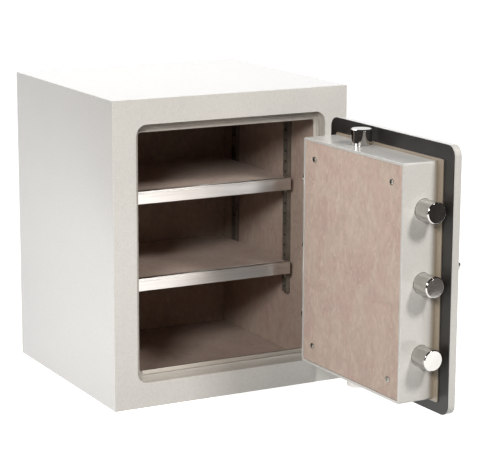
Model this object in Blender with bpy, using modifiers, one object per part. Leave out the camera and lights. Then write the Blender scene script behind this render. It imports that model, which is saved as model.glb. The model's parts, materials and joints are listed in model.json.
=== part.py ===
"""Fire-resistant cabinet safe with a bolt-work door, standing open.

Metres, +Z up. The origin is the centre of the cabinet's underside, -Y is its front.
The door and all it carries are modelled shut, and swing with their parent empties.
"""
import math

import bmesh
import bpy
from mathutils import Matrix, Vector

# Cabinet, overall
WIDTH = 0.406
DEPTH = 0.382
HEIGHT = 0.480

# Cabinet walls
CASING = 0.002            # outer steel
LINER = 0.0012            # inner steel
LINING = 0.0018           # suede-covered board
SIDE_WALL = 0.035         # outside to lined face
FLOOR_WALL = 0.020
CEILING_WALL = 0.030
BACK_WALL = 0.030
BORDER = 0.039            # front frame beside the door
OPENING_RADIUS = 0.0175

# Stepped jamb: each step's depth behind the one before, and its inset from the opening's edge
SEAT_GAP = 0.0013         # shut door's seal to the rebate
STEP_RISE = 0.0025
LIP_SHEET = 0.0015
STEP_SIDE = 0.006
STEP_END = 0.0085
LIP_SIDE = 0.011
LIP_END = 0.0145
STEP_RADIUS = 0.009
LIP_RADIUS = 0.004

# Sill trim
SILL_SHEET = 0.0009
SILL_TREAD = 0.0048

# Slotted standards, clips and shelves
STANDARD_WIDTH = 0.015
STANDARD_PROUD = 0.007
STANDARD_WALL = 0.0014
STANDARD_FOOT = 0.122     # height of the lower end
STANDARD_HEADROOM = 0.010
STANDARD_FRONT = 0.1145   # front face of the cabinet to the standard
STANDARD_BACK = 0.042     # room's back to the rear standard
SLOT_PITCH = 0.0175
SLOT_WIDTH = 0.0060
SLOT_HEIGHT = 0.0040
FIRST_SLOT = 0.0100       # above the standard's foot
LOWER_SHELF_SLOT = 1
UPPER_SHELF_SLOT = 9
CLIP_RISE = 0.011         # slot centre to the clip's top
CLIP_WIDTH = 0.011
CLIP_REACH = 0.011
CLIP_SHEET = 0.0030
SHELF_BOARD = 0.0165
SHELF_SETBACK = 0.097     # front face of the cabinet to the shelf trim
SHELF_BACK_GAP = 0.006
SHELF_SIDE_GAP = 0.003    # shelf edge to the standard's face
TRIM_SHEET = 0.0014
TRIM_LIP = 0.011
TRIM_GROOVE = 0.0008

# Door plate
DOOR_GAP = 0.0015
PLATE_DEPTH = 0.0125
PLATE_SHEET = 0.002
SEAL = 0.0014
EDGE_ROUND = 0.0015

# Bolt box on the inside of the door
BOX_FREE_MARGIN = 0.034   # free edge of the plate to the box
BOX_HINGE_MARGIN = 0.021
BOX_TOP_MARGIN = 0.0255
BOX_FOOT_MARGIN = 0.0195
BOX_HEIGHT = 0.062        # off the seal
BOX_SHEET = 0.0015
BOX_RADIUS = 0.004
FLANGE_FREE = 0.011
FLANGE_OTHER = 0.003
PANEL_RIM = 0.004
PANEL_SHEET = 0.0022
PANEL_SUNK = 0.0008
LEDGE = 0.036
SCREW_INSET = 0.0305
SCREW_RADIUS = 0.0023
SCREW_HEAD_RADIUS = 0.0047
SCREW_HEAD = 0.0017
SCREW_LENGTH = 0.009
SCREW_HOLE = 0.012

# Bolts
BOLT_RADIUS = 0.016
BOLT_CHAMFER = 0.0012
BOLT_LENGTH = 0.062
BOLT_SPACING = 0.108
BOLT_STOP_SHORT = 0.0018  # thrown tip to the plate's edge
TOP_BOLT_STOP_SHORT = 0.0009
BOLT_OFF_SEAL = 0.0253    # side bolts' axis
BOLT_CLEARANCE = 0.0004
CROSS_BOLT_OFF_SEAL = 0.0240
CROSS_BOLT_FROM_FREE = 0.2025
CROSS_BOLT_LENGTH = 0.0585
DOG_OFF_SEAL = 0.0335
DOG_PROUD = 0.0243
DOG_SPIGOT_RADIUS = 0.008
DOG_SPIGOT = 0.012

# Bolt work
HUB_FROM_FREE = 0.142
HUB_HEIGHT = 0.250
SIDE_THROW = 0.024
CROSS_THROW = 0.0195
HANDLE_TURN = math.radians(60.0)
PIN_RADIUS = 0.003
PIN_PLAY = 0.0005
DISC_RIM = 0.002          # round the outermost pin
DISC_SHEET = 0.004
DISC_OFF_SEAL = 0.0105
BAR_SHEET = 0.003
BAR_GAP = 0.001
BAR_WIDTH = 0.018
BAR_LAP = 0.0096          # bar's ends beyond the outer bolts' axes
ARM_HALF = 0.007
ARM_BEYOND_PIN = 0.0098

# Handle and dial on the outside of the door
SPINDLE_RADIUS = 0.006
HUB_RADIUS = 0.017
HANDLE_PLATE_RADIUS = 0.030
HANDLE_PLATE_SHEET = 0.005
HANDLE_PROUD = 0.0395
LEVER_LENGTH = 0.092
LEVER_HEIGHT = 0.013
LEVER_THICKNESS = 0.012
DIAL_FROM_FREE = 0.2575
DIAL_RADIUS = 0.022
DIAL_SKIRT_RADIUS = 0.028
DIAL_RING_RADIUS = 0.032
DIAL_RING_SHEET = 0.004
DIAL_SKIRT = 0.003
DIAL_PROUD = 0.027
DIAL_FLUTES = 18
DIAL_FLUTE_RADIUS = 0.001
DIAL_SPINDLE_RADIUS = 0.004
LOCK_WIDTH = 0.066
LOCK_TALL = 0.070
LOCK_OFF_SEAL = 0.006
LOCK_CLEARANCE = 0.0112   # lock case to the inside of the box

# Hinges on the front frame
HINGE_BESIDE = 0.0186     # opening's edge to the hinge axis
HINGE_FORWARD = 0.0174    # front face to the hinge axis
HINGE_FROM_END = 0.100
KNUCKLE_RADIUS = 0.009
KNUCKLE_LENGTH = 0.0295
KNUCKLE_GAP = 0.001
HINGE_PIN_RADIUS = 0.004
HINGE_PIN_HEAD = 0.0065
HINGE_LEAF = 0.0047
FRAME_LEAF_INSET = 0.003  # side of the cabinet to the leaf
DOOR_LEAF_SHEET = 0.0066
DOOR_LEAF_NEAR = 0.0047   # plate's hinge edge to the leaf
DOOR_LEAF_FAR = 0.0376
HINGE_ARM_NEAR = 0.0052   # front face to the arm
HINGE_ARM_BITE = 0.0034   # how deep the arm goes into the barrel
HINGE_ARM_LAP = 0.0141    # how far the arm laps over the plate
DOOR_ANGLE = math.radians(91.5)

GAP = 0.0003              # between pieces that touch
OVER = 0.004              # how far a cutter runs past what it cuts
SMALL_ROUND = 0.0006

# Worked-out planes
FRONT = -DEPTH / 2
BACK = DEPTH / 2
OPENING_X = WIDTH / 2 - BORDER
OPENING_LOW = BORDER
OPENING_HIGH = HEIGHT - BORDER
ROOM_X = WIDTH / 2 - SIDE_WALL
ROOM_LOW = FLOOR_WALL
ROOM_HIGH = HEIGHT - CEILING_WALL
ROOM_BACK = BACK - BACK_WALL
LINER_GROWTH = LINING + GAP + LINER
PLATE_X = OPENING_X - DOOR_GAP
PLATE_LOW = OPENING_LOW + DOOR_GAP
PLATE_HIGH = OPENING_HIGH - DOOR_GAP
SEAL_BACK = FRONT + PLATE_DEPTH + GAP + SEAL
REBATE_DEPTH = PLATE_DEPTH + GAP + SEAL + SEAT_GAP
STEP_DEPTH = REBATE_DEPTH + STEP_RISE
JAMB_DEPTH = STEP_DEPTH + LIP_SHEET
STANDARD_REAR = DEPTH - BACK_WALL - STANDARD_BACK - STANDARD_WIDTH
BOX_X0 = -PLATE_X + BOX_FREE_MARGIN
BOX_X1 = PLATE_X - BOX_HINGE_MARGIN
BOX_Z0 = PLATE_LOW + BOX_FOOT_MARGIN
BOX_Z1 = PLATE_HIGH - BOX_TOP_MARGIN
BOX_BASE = SEAL_BACK + GAP
BOX_BACK = SEAL_BACK + BOX_HEIGHT
LEDGE_BACK = BOX_BACK - PANEL_SUNK - PANEL_SHEET - GAP
BOX_INNER = LEDGE_BACK - BOX_SHEET
BOLT_Y = SEAL_BACK + BOLT_OFF_SEAL
CROSS_BOLT_Y = SEAL_BACK + CROSS_BOLT_OFF_SEAL
BOLT_HEIGHTS = [(BOX_Z0 + BOX_Z1) / 2 + step * BOLT_SPACING for step in (-1, 0, 1)]
CROSS_BOLT_X = -PLATE_X + CROSS_BOLT_FROM_FREE
HUB_X = -PLATE_X + HUB_FROM_FREE
DIAL_X = -PLATE_X + DIAL_FROM_FREE
HINGE_AXIS = Vector((OPENING_X + HINGE_BESIDE, FRONT - HINGE_FORWARD, 0.0))

PARTS = bpy.data.collections.new("fire_safe")
CUTTERS = bpy.data.collections.new("fire_safe_cutters")


def clear_scene():
    for item in list(bpy.context.scene.objects):
        bpy.data.objects.remove(item, do_unlink=True)
    for group in (PARTS, CUTTERS):
        bpy.context.scene.collection.children.link(group)


# ---------------------------------------------------------------- materials
def finish(name, colour, roughness, metallic=0.0):
    material = bpy.data.materials.new(name)
    material.use_nodes = True
    shader = material.node_tree.nodes["Principled BSDF"]
    shader.inputs["Base Color"].default_value = (*colour, 1.0)
    shader.inputs["Roughness"].default_value = roughness
    shader.inputs["Metallic"].default_value = metallic
    return material


CREAM = finish("cream_enamel", (0.78, 0.75, 0.70), 0.35)
SUEDE = finish("taupe_suede", (0.52, 0.40, 0.33), 0.95)
BLACK = finish("black_seal", (0.02, 0.018, 0.017), 0.5)
CHROME = finish("polished_chrome", (0.80, 0.80, 0.80), 0.08, 1.0)
BRUSHED = finish("brushed_trim", (0.72, 0.70, 0.67), 0.30, 1.0)
DARK_STEEL = finish("dark_steel", (0.10, 0.095, 0.085), 0.45, 0.6)
ZINC = finish("zinc_steel", (0.60, 0.61, 0.62), 0.35, 1.0)
CEMENT = finish("cement_fill", (0.55, 0.54, 0.50), 0.95)
LOCK_CASE = finish("lock_case", (0.30, 0.30, 0.31), 0.5, 0.8)
DIAL_BLACK = finish("dial_black", (0.03, 0.03, 0.032), 0.35)


# ---------------------------------------------------------------- shape helpers
def add_object(name, shape, centre, material):
    mesh = bpy.data.meshes.new(name)
    shape.to_mesh(mesh)
    shape.free()
    item = bpy.data.objects.new(name, mesh)
    item.location = centre
    if material is None:
        item.hide_render = True
        item.display_type = "WIRE"
        CUTTERS.objects.link(item)
    else:
        mesh.materials.append(material)
        PARTS.objects.link(item)
    return item


def cube(low, high):
    size = [b - a for a, b in zip(low, high)]
    shape = bmesh.new()
    bmesh.ops.create_cube(shape, size=1.0)
    bmesh.ops.scale(shape, vec=size, verts=shape.verts)
    return shape, Vector([(a + b) / 2 for a, b in zip(low, high)])


def soften(shape, edges, radius, segments):
    bmesh.ops.bevel(shape, geom=edges, offset=radius, segments=segments, profile=0.5,
                    affect="EDGES", clamp_overlap=True)


def block(name, low, high, material=None, radius=0.0, segments=2):
    shape, centre = cube(low, high)
    if radius:
        soften(shape, shape.edges[:], radius, segments)
    return add_object(name, shape, centre, material)


def slab(name, low, high, corner, material=None, front_round=0.0, back_round=0.0):
    """A box whose four edges along Y are rounded, and if asked its front or back rim."""
    shape, centre = cube(low, high)
    along = [edge for edge in shape.edges
             if abs(edge.verts[0].co.y - edge.verts[1].co.y) > 1e-6]
    soften(shape, along, corner, 6 if corner > LIP_RADIUS else 3)
    half = (high[1] - low[1]) / 2
    for plane, radius in ((-half, front_round), (half, back_round)):
        if radius:
            rim = [edge for edge in shape.edges
                   if all(abs(vert.co.y - plane) < 1e-6 for vert in edge.verts)]
            soften(shape, rim, radius, 2)
    return add_object(name, shape, centre, material)


def shade_round(item):
    item.data.shade_smooth()
    item.data.set_sharp_from_angle(angle=math.radians(35))
    return item


def rod(name, start, end, radius, material=None, chamfer=0.0, sides=24):
    """A cylinder from one point to another, with both rims chamfered if asked."""
    start, end = Vector(start), Vector(end)
    run = end - start
    shape = bmesh.new()
    bmesh.ops.create_cone(shape, cap_ends=True, segments=sides, radius1=radius,
                          radius2=radius, depth=run.length)
    if chamfer:
        rims = [edge for edge in shape.edges
                if abs(edge.verts[0].co.z - edge.verts[1].co.z) < 1e-6]
        soften(shape, rims, chamfer, 1)
    turn = run.to_track_quat("Z", "Y").to_matrix().to_4x4()
    bmesh.ops.transform(shape, matrix=turn, verts=shape.verts)
    return shade_round(add_object(name, shape, (start + end) / 2, material))


def boolean(item, tool, operation):
    change = item.modifiers.new(f"{operation.lower()}_{tool.name}", "BOOLEAN")
    change.operation = operation
    change.solver = "EXACT"
    change.object = tool
    return item


def cut(item, *tools):
    for tool in tools:
        boolean(item, tool, "DIFFERENCE")
    return item


def join(item, *tools):
    for tool in tools:
        boolean(item, tool, "UNION")
    return item


def pivot(name, place, parent=None):
    empty = bpy.data.objects.new(name, None)
    empty.location = place
    empty.empty_display_size = 0.02
    PARTS.objects.link(empty)
    if parent:
        carry(parent, empty)
    return empty


def carry(parent, *items):
    """Hang items, and the tools that shape them, on a pivot without moving them."""
    for item in items:
        item.parent = parent
        item.matrix_parent_inverse = Matrix.Translation(-parent.location)
        for modifier in item.modifiers:
            if modifier.type == "BOOLEAN":
                carry(parent, modifier.object)


# ---------------------------------------------------------------- cabinet body
def outer_shell():
    shell = block("outer_shell", (-WIDTH / 2, FRONT, 0), (WIDTH / 2, BACK, HEIGHT),
                  CREAM, SMALL_ROUND)
    inside = block("shell_inside", (-WIDTH / 2 + CASING, FRONT + CASING, CASING),
                   (WIDTH / 2 - CASING, BACK + OVER, HEIGHT - CASING))
    doorway = slab("shell_doorway", (-OPENING_X, FRONT - OVER, OPENING_LOW),
                   (OPENING_X, FRONT + 2 * OVER, OPENING_HIGH), OPENING_RADIUS)
    return cut(shell, inside, doorway)


def back_cover():
    inset = CASING + GAP
    return block("back_cover", (-WIDTH / 2 + inset, BACK - CASING - SMALL_ROUND, inset),
                 (WIDTH / 2 - inset, BACK - SMALL_ROUND, HEIGHT - inset), CREAM)


def jamb_frame():
    reach = ROOM_X + LINER_GROWTH
    frame = block("jamb_frame", (-reach, FRONT + CASING + GAP, ROOM_LOW - LINER_GROWTH),
                  (reach, FRONT + JAMB_DEPTH, ROOM_HIGH + LINER_GROWTH), CREAM)
    steps = (("rebate", 0.0, 0.0, OPENING_RADIUS, REBATE_DEPTH),
             ("step", STEP_SIDE, STEP_END, STEP_RADIUS, STEP_DEPTH),
             ("lip", LIP_SIDE, LIP_END, LIP_RADIUS, JAMB_DEPTH + OVER))
    for name, side, end, radius, depth in steps:
        tool = slab(f"jamb_{name}", (side - OPENING_X, FRONT - OVER, OPENING_LOW + end),
                    (OPENING_X - side, FRONT + depth, OPENING_HIGH - end), radius)
        cut(frame, tool)
    return frame


def fire_barrier():
    inset = CASING + GAP
    reach = ROOM_X + LINER_GROWTH + GAP
    fill = block("fire_barrier", (-WIDTH / 2 + inset, FRONT + inset, inset),
                 (WIDTH / 2 - inset, BACK - CASING - SMALL_ROUND - GAP, HEIGHT - inset), CEMENT)
    room = block("barrier_room", (-reach, FRONT - OVER, ROOM_LOW - LINER_GROWTH - GAP),
                 (reach, ROOM_BACK + LINER_GROWTH + GAP, ROOM_HIGH + LINER_GROWTH + GAP))
    return cut(fill, room)


def inner_liner():
    outer = LINER_GROWTH
    inner = LINING + GAP
    liner = block("inner_liner",
                  (-ROOM_X - outer, FRONT + JAMB_DEPTH + GAP, ROOM_LOW - outer),
                  (ROOM_X + outer, ROOM_BACK + outer, ROOM_HIGH + outer), ZINC)
    room = block("liner_room", (-ROOM_X - inner, FRONT - OVER, ROOM_LOW - inner),
                 (ROOM_X + inner, ROOM_BACK + inner, ROOM_HIGH + inner))
    return cut(liner, room)


def linings():
    near = FRONT + JAMB_DEPTH + GAP
    wide = ROOM_X + LINING
    block("lining_floor", (-wide, near, ROOM_LOW - LINING),
          (wide, ROOM_BACK + LINING, ROOM_LOW), SUEDE)
    block("lining_ceiling", (-wide, near, ROOM_HIGH),
          (wide, ROOM_BACK + LINING, ROOM_HIGH + LINING), SUEDE)
    low, high = ROOM_LOW + GAP, ROOM_HIGH - GAP
    block("lining_back", (-wide, ROOM_BACK, low), (wide, ROOM_BACK + LINING, high), SUEDE)
    for name, side in (("lining_left", -1), ("lining_right", 1)):
        faces = sorted((side * ROOM_X, side * wide))
        block(name, (faces[0], near, low), (faces[1], ROOM_BACK - GAP, high), SUEDE)


def sill_trim():
    """A thin brushed angle that caps the jamb's lower lip."""
    reach = OPENING_X - LIP_SIDE - LIP_RADIUS
    lip_top = OPENING_LOW + LIP_END
    face = FRONT + STEP_DEPTH - GAP - SILL_SHEET
    tread = block("sill_trim", (-reach, face, lip_top + GAP),
                  (reach, face + SILL_TREAD, lip_top + GAP + SILL_SHEET), BRUSHED)
    nose = block("sill_nose", (-reach, face, OPENING_LOW + STEP_END + 2 * GAP),
                 (reach, face + SILL_SHEET, lip_top + GAP + SILL_SHEET / 2))
    return join(tread, nose)


# ---------------------------------------------------------------- shelving
def standard(name, side, near):
    top = ROOM_HIGH - STANDARD_HEADROOM
    face, wall = side * (ROOM_X - STANDARD_PROUD), side * (ROOM_X - GAP)
    y0, y1 = FRONT + near, FRONT + near + STANDARD_WIDTH
    low_x, high_x = sorted((face, wall))
    bar = block(name, (low_x, y0, STANDARD_FOOT), (high_x, y1, top), DARK_STEEL)
    groove_x = sorted((face + side * STANDARD_WALL, wall + side * OVER))
    groove = block(f"{name}_groove", (groove_x[0], y0 + STANDARD_WALL, STANDARD_FOOT - OVER),
                   (groove_x[1], y1 - STANDARD_WALL, top + OVER))
    middle = (y0 + y1) / 2
    slot_x = sorted((face - side * OVER, face + side * OVER))
    slot_z = STANDARD_FOOT + FIRST_SLOT
    slots = block(f"{name}_slots", (slot_x[0], middle - SLOT_WIDTH / 2, slot_z - SLOT_HEIGHT / 2),
                  (slot_x[1], middle + SLOT_WIDTH / 2, slot_z + SLOT_HEIGHT / 2))
    row = slots.modifiers.new("row", "ARRAY")
    row.count = int((top - slot_z - SLOT_HEIGHT) / SLOT_PITCH) + 1
    row.use_relative_offset = False
    row.use_constant_offset = True
    row.constant_offset_displace = (0, 0, SLOT_PITCH)
    row.use_merge_vertices = False
    return cut(bar, groove, slots)


def clip(name, side, near, height):
    """A shelf clip whose tongue sits in a slot of the standard."""
    middle = FRONT + near + STANDARD_WIDTH / 2
    face = ROOM_X - STANDARD_PROUD
    seat = sorted((side * (face - GAP), side * (face - GAP - CLIP_REACH)))
    top = height + CLIP_RISE
    tray = block(name, (seat[0], middle - CLIP_WIDTH / 2, top - CLIP_SHEET),
                 (seat[1], middle + CLIP_WIDTH / 2, top), ZINC)
    back = sorted((side * (face - GAP), side * (face - GAP - CLIP_SHEET)))
    low = height - SLOT_HEIGHT / 2 + GAP
    leg = block(f"{name}_leg", (back[0], middle - CLIP_WIDTH / 2 + GAP, low),
                (back[1], middle + CLIP_WIDTH / 2 - GAP, top - CLIP_SHEET / 2))
    tongue_x = sorted((side * (face + STANDARD_WALL + GAP), side * (face - CLIP_SHEET / 2)))
    tongue = block(f"{name}_tongue", (tongue_x[0], middle - SLOT_WIDTH / 2 + GAP, low + GAP / 2),
                   (tongue_x[1], middle + SLOT_WIDTH / 2 - GAP, height + SLOT_HEIGHT / 2 - GAP))
    return join(tray, leg, tongue)


def shelf(name, height):
    reach = ROOM_X - STANDARD_PROUD - SHELF_SIDE_GAP
    low = height + CLIP_RISE + GAP
    near = FRONT + SHELF_SETBACK + TRIM_SHEET + GAP
    block(f"shelf_{name}", (-reach, near, low),
          (reach, ROOM_BACK - SHELF_BACK_GAP, low + SHELF_BOARD), SUEDE, SMALL_ROUND)
    trim = block(f"shelf_trim_{name}", (-reach, FRONT + SHELF_SETBACK, low - GAP - TRIM_SHEET),
                 (reach, FRONT + SHELF_SETBACK + TRIM_LIP, low + SHELF_BOARD + GAP + TRIM_SHEET),
                 BRUSHED, TRIM_SHEET / 3)
    board = block(f"trim_{name}_board", (-reach - OVER, near - GAP, low - GAP),
                  (reach + OVER, near + TRIM_LIP + OVER, low + SHELF_BOARD + GAP))
    line = low + SHELF_BOARD - TRIM_SHEET
    groove = block(f"trim_{name}_groove", (-reach - OVER, FRONT + SHELF_SETBACK - OVER, line),
                   (reach + OVER, FRONT + SHELF_SETBACK + TRIM_GROOVE, line + TRIM_GROOVE))
    return cut(trim, board, groove)


def shelving():
    for side, hand in ((-1, "left"), (1, "right")):
        for near, place in ((STANDARD_FRONT, "front"), (STANDARD_REAR, "rear")):
            standard(f"standard_{hand}_{place}", side, near)
            for slot, level in ((LOWER_SHELF_SLOT, "lower"), (UPPER_SHELF_SLOT, "upper")):
                height = STANDARD_FOOT + FIRST_SLOT + slot * SLOT_PITCH
                clip(f"clip_{level}_{hand}_{place}", side, near, height)
    for slot, level in ((LOWER_SHELF_SLOT, "lower"), (UPPER_SHELF_SLOT, "upper")):
        shelf(level, STANDARD_FOOT + FIRST_SLOT + slot * SLOT_PITCH)


# ---------------------------------------------------------------- hinges
def knuckle_bore(name, low, high):
    return rod(f"{name}_bore", (HINGE_AXIS.x, HINGE_AXIS.y, low - OVER),
               (HINGE_AXIS.x, HINGE_AXIS.y, high + OVER), HINGE_PIN_RADIUS + GAP)


def frame_knuckle(name, middle):
    low, high = middle - KNUCKLE_GAP / 2 - KNUCKLE_LENGTH, middle - KNUCKLE_GAP / 2
    barrel = rod(name, (HINGE_AXIS.x, HINGE_AXIS.y, low), (HINGE_AXIS.x, HINGE_AXIS.y, high),
                 KNUCKLE_RADIUS, CREAM)
    web = block(f"{name}_web", (HINGE_AXIS.x - HINGE_LEAF, HINGE_AXIS.y, low + GAP),
                (HINGE_AXIS.x + HINGE_LEAF, FRONT - HINGE_LEAF / 2, high - GAP))
    leaf = block(f"{name}_leaf", (HINGE_AXIS.x - KNUCKLE_RADIUS, FRONT - HINGE_LEAF, low),
                 (WIDTH / 2 - FRAME_LEAF_INSET, FRONT - GAP, high))
    return cut(join(barrel, web, leaf), knuckle_bore(name, low, high))


def door_knuckle(name, middle):
    low, high = middle + KNUCKLE_GAP / 2, middle + KNUCKLE_GAP / 2 + KNUCKLE_LENGTH
    barrel = rod(name, (HINGE_AXIS.x, HINGE_AXIS.y, low), (HINGE_AXIS.x, HINGE_AXIS.y, high),
                 KNUCKLE_RADIUS, CREAM)
    arm_face = FRONT - HINGE_ARM_NEAR
    arm_far = HINGE_AXIS.y + KNUCKLE_RADIUS - HINGE_ARM_BITE
    arm = block(f"{name}_arm", (PLATE_X - HINGE_ARM_LAP, arm_far, low + GAP),
                (HINGE_AXIS.x, arm_face, high - GAP))
    leaf = block(f"{name}_leaf", (PLATE_X - DOOR_LEAF_FAR, FRONT - DOOR_LEAF_SHEET, low),
                 (PLATE_X - DOOR_LEAF_NEAR, FRONT - GAP, high))
    return cut(join(barrel, arm, leaf), knuckle_bore(name, low, high))


def hinge_pin(name, middle):
    low = middle - KNUCKLE_LENGTH
    high = middle + KNUCKLE_GAP / 2 + KNUCKLE_LENGTH + GAP
    shank = rod(name, (HINGE_AXIS.x, HINGE_AXIS.y, low), (HINGE_AXIS.x, HINGE_AXIS.y, high + GAP),
                HINGE_PIN_RADIUS, ZINC)
    head = rod(f"{name}_head", (HINGE_AXIS.x, HINGE_AXIS.y, high),
               (HINGE_AXIS.x, HINGE_AXIS.y, high + HINGE_PIN_RADIUS), HINGE_PIN_HEAD)
    return join(shank, head)


def hinges(door):
    for place, middle in (("lower", HINGE_FROM_END), ("upper", HEIGHT - HINGE_FROM_END)):
        frame_knuckle(f"frame_knuckle_{place}", middle)
        hinge_pin(f"hinge_pin_{place}", middle)
        carry(door, door_knuckle(f"door_knuckle_{place}", middle))


# ---------------------------------------------------------------- door
def through_hole(name, x, z, radius):
    return rod(name, (x, FRONT - OVER, z), (x, SEAL_BACK + OVER, z), radius)


def spindle_holes(name):
    return (through_hole(f"{name}_handle_hole", HUB_X, HUB_HEIGHT, SPINDLE_RADIUS + GAP),
            through_hole(f"{name}_dial_hole", DIAL_X, HUB_HEIGHT, DIAL_SPINDLE_RADIUS + GAP))


def door_plate():
    corner = OPENING_RADIUS - DOOR_GAP
    back = FRONT + PLATE_DEPTH
    plate = slab("door_plate", (-PLATE_X, FRONT, PLATE_LOW), (PLATE_X, back, PLATE_HIGH),
                 corner, CREAM, front_round=EDGE_ROUND)
    inset = PLATE_SHEET
    pan = slab("plate_pan", (inset - PLATE_X, FRONT + inset, PLATE_LOW + inset),
               (PLATE_X - inset, back + OVER, PLATE_HIGH - inset), corner - inset)
    return cut(plate, pan, *spindle_holes("plate"))


def door_barrier():
    inset = PLATE_SHEET + GAP
    fill = slab("door_barrier", (inset - PLATE_X, FRONT + inset, PLATE_LOW + inset),
                (PLATE_X - inset, FRONT + PLATE_DEPTH, PLATE_HIGH - inset),
                OPENING_RADIUS - DOOR_GAP - inset, CEMENT)
    return cut(fill, *spindle_holes("barrier"))


def door_seal():
    seal = slab("door_seal", (GAP - PLATE_X, SEAL_BACK - SEAL, PLATE_LOW + GAP),
                (PLATE_X - GAP, SEAL_BACK, PLATE_HIGH - GAP), OPENING_RADIUS - DOOR_GAP - GAP, BLACK)
    return cut(seal, *spindle_holes("seal"))


def screw_places():
    return [(x, z) for x in (BOX_X0 + SCREW_INSET, BOX_X1 - SCREW_INSET)
            for z in (BOX_Z0 + SCREW_INSET, BOX_Z1 - SCREW_INSET)]


def screw_holes(name):
    return [rod(f"{name}_screw_hole_{number}", (x, BOX_BACK - SCREW_HOLE, z),
                (x, BOX_BACK + OVER, z), SCREW_RADIUS + GAP, sides=16)
            for number, (x, z) in enumerate(screw_places())]


def bolt_box():
    sheet = BOX_SHEET
    box = slab("bolt_box", (BOX_X0, BOX_BASE, BOX_Z0), (BOX_X1, BOX_BACK, BOX_Z1),
               BOX_RADIUS, CREAM, back_round=SMALL_ROUND)
    flange = slab("box_flange", (BOX_X0 - FLANGE_FREE, BOX_BASE, BOX_Z0 - FLANGE_OTHER),
                  (BOX_X1 + FLANGE_OTHER, BOX_BASE + sheet, BOX_Z1 + FLANGE_OTHER), FLANGE_OTHER)
    inside = slab("box_inside", (BOX_X0 + sheet, BOX_BASE - OVER, BOX_Z0 + sheet),
                  (BOX_X1 - sheet, BOX_INNER, BOX_Z1 - sheet), BOX_RADIUS - sheet)
    recess = slab("box_recess", (BOX_X0 + PANEL_RIM, LEDGE_BACK, BOX_Z0 + PANEL_RIM),
                  (BOX_X1 - PANEL_RIM, BOX_BACK + OVER, BOX_Z1 - PANEL_RIM), SMALL_ROUND)
    window = block("box_window", (BOX_X0 + LEDGE, LEDGE_BACK - OVER, BOX_Z0 + LEDGE),
                   (BOX_X1 - LEDGE, LEDGE_BACK + OVER, BOX_Z1 - LEDGE))
    join(box, flange)
    cut(box, inside, recess, window, *screw_holes("box"))
    hole = BOLT_RADIUS + BOLT_CLEARANCE
    dog_y = SEAL_BACK + DOG_OFF_SEAL
    for number, height in enumerate(BOLT_HEIGHTS):
        cut(box, rod(f"bolt_hole_{number}", (BOX_X0 - OVER, BOLT_Y, height),
                     (BOX_X0 + OVER, BOLT_Y, height), hole))
        cut(box, rod(f"dog_hole_{number}", (BOX_X1 - OVER, dog_y, height),
                     (BOX_X1 + OVER, dog_y, height), DOG_SPIGOT_RADIUS + GAP))
    for name, end in (("top", BOX_Z1), ("bottom", BOX_Z0)):
        cut(box, rod(f"{name}_bolt_hole", (CROSS_BOLT_X, CROSS_BOLT_Y, end - OVER),
                     (CROSS_BOLT_X, CROSS_BOLT_Y, end + OVER), hole))
    return box


def back_panel():
    inset = PANEL_RIM + GAP
    front = BOX_BACK - PANEL_SUNK - PANEL_SHEET
    panel = slab("back_panel", (BOX_X0 + inset, front, BOX_Z0 + inset),
                 (BOX_X1 - inset, front + PANEL_SHEET, BOX_Z1 - inset), SMALL_ROUND, SUEDE)
    return cut(panel, *screw_holes("panel"))


def panel_screw(name, x, z):
    seat = BOX_BACK - PANEL_SUNK + GAP
    shank = rod(name, (x, seat - SCREW_LENGTH, z), (x, seat + GAP, z), SCREW_RADIUS, ZINC, sides=16)
    head = rod(f"{name}_head", (x, seat, z), (x, seat + SCREW_HEAD, z), SCREW_HEAD_RADIUS,
               chamfer=SMALL_ROUND, sides=18)
    return join(shank, head)


def hinge_dog(name, height):
    """A fixed bolt on the hinge side that catches behind the jamb when the door shuts."""
    y = SEAL_BACK + DOG_OFF_SEAL
    stub = rod(name, (BOX_X1 + GAP, y, height), (BOX_X1 + DOG_PROUD, y, height),
               BOLT_RADIUS, CHROME, BOLT_CHAMFER)
    spigot = rod(f"{name}_spigot", (BOX_X1 - DOG_SPIGOT, y, height),
                 (BOX_X1 + DOG_PROUD / 2, y, height), DOG_SPIGOT_RADIUS, sides=24)
    return join(stub, spigot)


def lock_body():
    low = (DIAL_X - LOCK_WIDTH / 2, SEAL_BACK + LOCK_OFF_SEAL, HUB_HEIGHT - LOCK_TALL / 2)
    high = (DIAL_X + LOCK_WIDTH / 2, BOX_INNER - LOCK_CLEARANCE, HUB_HEIGHT + LOCK_TALL / 2)
    return block("lock_body", low, high, LOCK_CASE, 2 * SMALL_ROUND)


def disc_on_door(name, x, radius, thickness, hole, material):
    plate = rod(name, (x, FRONT - GAP, HUB_HEIGHT), (x, FRONT - GAP - thickness, HUB_HEIGHT),
                radius, material, SMALL_ROUND, sides=36)
    return cut(plate, rod(f"{name}_hole", (x, FRONT + OVER, HUB_HEIGHT),
                          (x, FRONT - thickness - OVER, HUB_HEIGHT), hole))


def door(door_pivot):
    pieces = [door_plate(), door_barrier(), door_seal(), bolt_box(), back_panel(), lock_body()]
    pieces += [panel_screw(f"panel_screw_{number + 1}", x, z)
               for number, (x, z) in enumerate(screw_places())]
    pieces += [hinge_dog(f"hinge_dog_{name}", height)
               for name, height in zip(("lower", "middle", "upper"), BOLT_HEIGHTS)]
    pieces.append(disc_on_door("handle_plate", HUB_X, HANDLE_PLATE_RADIUS, HANDLE_PLATE_SHEET,
                               SPINDLE_RADIUS + GAP, CHROME))
    pieces.append(disc_on_door("dial_ring", DIAL_X, DIAL_RING_RADIUS, DIAL_RING_SHEET,
                               DIAL_SPINDLE_RADIUS + GAP, CHROME))
    carry(door_pivot, *pieces)


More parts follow.
